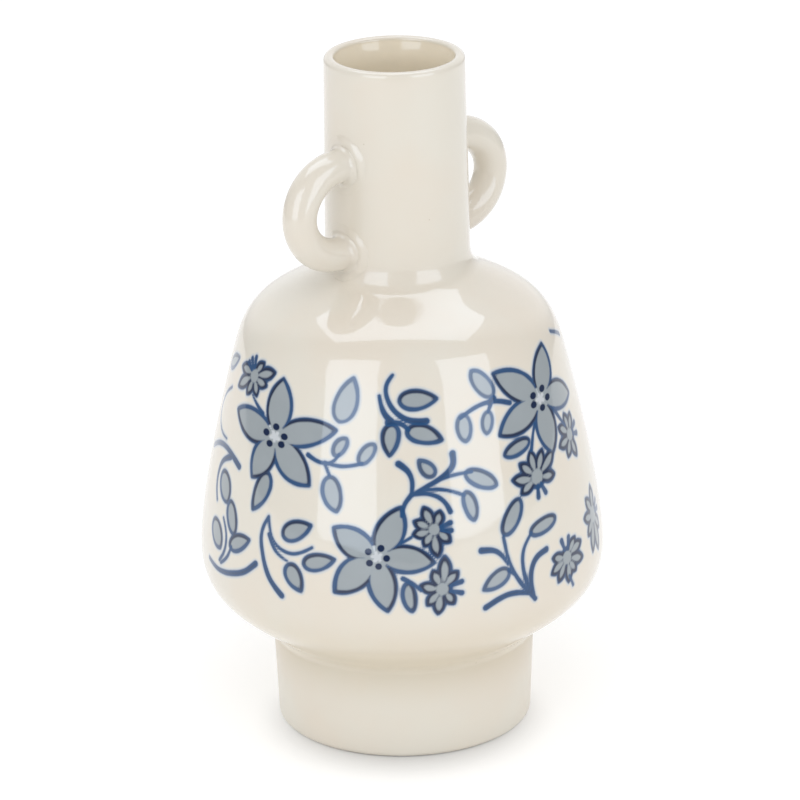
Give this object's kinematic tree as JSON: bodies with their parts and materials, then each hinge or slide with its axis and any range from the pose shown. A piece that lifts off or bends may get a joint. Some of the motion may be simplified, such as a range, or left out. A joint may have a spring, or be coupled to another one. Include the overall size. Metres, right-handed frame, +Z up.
{
  "type": "two-handled ceramic vase",
  "caption": "Bottle-shaped glazed ceramic vase with a cylindrical foot, round belly, straight neck, two small loop handles and a band of painted flowers.",
  "frame": {"origin": "centre of the foot's standing circle, on the surface that the vase stands on", "axes": "+Z up along the vase's axis, +X towards the right-hand handle, +Y square to the handles"},
  "size_m": [0.1406, 0.1406, 0.24],
  "materials": {
    "painted_glaze": "cream clear glaze over cobalt and grey flower painting, glossy",
    "plain_glaze": "cream glossy glaze",
    "foot_glaze": "cream glaze, slightly less glossy, bare clay on the standing ring",
    "seam_clay": "clay wiped smooth over the seams, under the same glaze"
  },
  "bodies": {
    "root": {"foot": "foot_glaze", "bowl": "painted_glaze", "shoulder": "painted_glaze", "neck": "plain_glaze", "foot_seam_coil": "seam_clay", "belly_seam_coil": "seam_clay", "neck_seam_coil": "seam_clay", "handle_left": "plain_glaze", "handle_left_upper_bead": "seam_clay", "handle_left_lower_bead": "seam_clay", "handle_right": "plain_glaze", "handle_right_upper_bead": "seam_clay", "handle_right_lower_bead": "seam_clay"}
  },
  "joints": []
}
